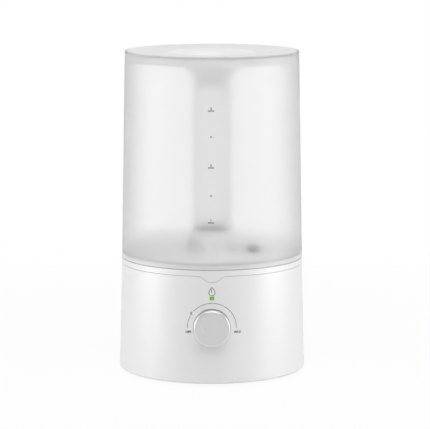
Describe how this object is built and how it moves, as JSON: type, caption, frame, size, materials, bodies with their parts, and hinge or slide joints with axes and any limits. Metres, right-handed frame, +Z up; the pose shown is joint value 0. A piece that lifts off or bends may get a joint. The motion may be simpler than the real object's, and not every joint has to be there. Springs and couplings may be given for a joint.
{
  "type": "cool mist humidifier",
  "caption": "Round top-fill ultrasonic humidifier: a frosted lift-off tank with mist tube and sunken lid on a white base with a control knob, lamp and fan.",
  "frame": {"origin": "middle of the footprint on the table, under the axis of the tank", "axes": "+Z up along the tank's axis, -Y out of the front with the knob, +X to the right seen from the front"},
  "size_m": [0.1768, 0.1851, 0.3055],
  "materials": {
    "white_abs": "satin moulded",
    "trough_white": "satin moulded",
    "lid_white": "satin moulded",
    "frosted_tank": "frosted translucent",
    "inner_clear": "translucent moulded",
    "knob_white": "smooth satin",
    "knob_grey": "fine satin",
    "lamp_window": "clear tinted",
    "lamp_green": "clear tinted",
    "foot_rubber": "matte",
    "silicone": "matte",
    "screw_steel": "zinc plated",
    "spring_steel": "drawn wire",
    "disc_steel": "plated ceramic",
    "magnet_black": "sintered",
    "float_white": "foam moulded",
    "black_plastic": "moulded",
    "copper_wire": "enamelled wire",
    "board_green": "solder mask",
    "sink_aluminium": "extruded",
    "can_black": "sleeved",
    "plug_cream": "moulded",
    "lead_black": "insulated wire",
    "lead_red": "insulated wire",
    "lead_grey": "insulated wire",
    "pin_brass": "plated",
    "mark_ink": "printed"
  },
  "bodies": {
    "base": {"base_shell": "white_abs", "bottom_cover": "white_abs", "rubber_feet": "foot_rubber", "bottom_screws": "screw_steel", "trough": "trough_white", "trough_screws": "screw_steel", "transducer_disc": "disc_steel", "transducer_seal": "silicone", "transducer_retainer": "white_abs", "transducer_screws": "screw_steel", "reed_switch": "black_plastic", "pot_body": "black_plastic", "control_board": "board_green", "panel_screws": "screw_steel", "lamp": "lamp_green", "light_pipe": "lamp_window", "dc_jack": "black_plastic", "jack_pin": "pin_brass", "jack_nut": "screw_steel", "fan_frame": "black_plastic", "fan_stator": "copper_wire", "fan_screws": "screw_steel", "air_duct": "white_abs", "driver_board": "board_green", "board_screws": "screw_steel", "heat_sink": "sink_aluminium", "power_transistor": "black_plastic", "drive_coil": "copper_wire", "capacitors": "can_black", "board_connectors": "plug_cream", "fan_lead": "lead_black", "transducer_lead": "lead_red", "panel_lead": "lead_grey", "power_lead": "lead_black", "reed_lead": "lead_red"},
    "tank": {"tank_wall": "frosted_tank", "tank_floor": "inner_clear", "mist_tube": "inner_clear", "valve_cage": "inner_clear", "valve_spring": "spring_steel"},
    "valve": {"valve_plunger": "white_abs", "valve_seal": "silicone"},
    "lid": {"lid": "lid_white", "splash_guard": "lid_white"},
    "float": {"float_body": "float_white", "float_magnet": "magnet_black", "float_pad": "silicone"},
    "knob": {"knob_body": "knob_white", "knob_cap": "knob_grey", "pot_shaft": "sink_aluminium"},
    "fan_rotor": {"fan_rotor": "black_plastic"}
  },
  "joints": [
    {"name": "tank_lift", "type": "slide", "parent": "base", "child": "tank", "axis": [0, 0, 1], "range_m": [0, 0.12]},
    {"name": "lid_lift", "type": "slide", "parent": "tank", "child": "lid", "axis": [0, 0, 1], "range_m": [0, 0.06]},
    {"name": "valve_close", "type": "slide", "parent": "tank", "child": "valve", "axis": [0, 0, -1], "range_m": [0, 0.0035], "deforming": ["valve_spring"]},
    {"name": "float_rise", "type": "slide", "parent": "base", "child": "float", "axis": [0, 0, 1], "range_m": [0, 0.0057]},
    {"name": "knob_turn", "type": "hinge", "parent": "base", "child": "knob", "pos_m": [0, -0.085, 0.056], "axis": [0, 1, 0], "range_deg": [0, 196]},
    {"name": "fan_spin", "type": "hinge", "parent": "base", "child": "fan_rotor", "pos_m": [-0.045, 0, 0.03], "axis": [0, 0, 1], "continuous": true}
  ],
  "couplings": [
    {"joint": "valve_close", "follows": "tank_lift", "ratio": 0.02916}
  ]
}
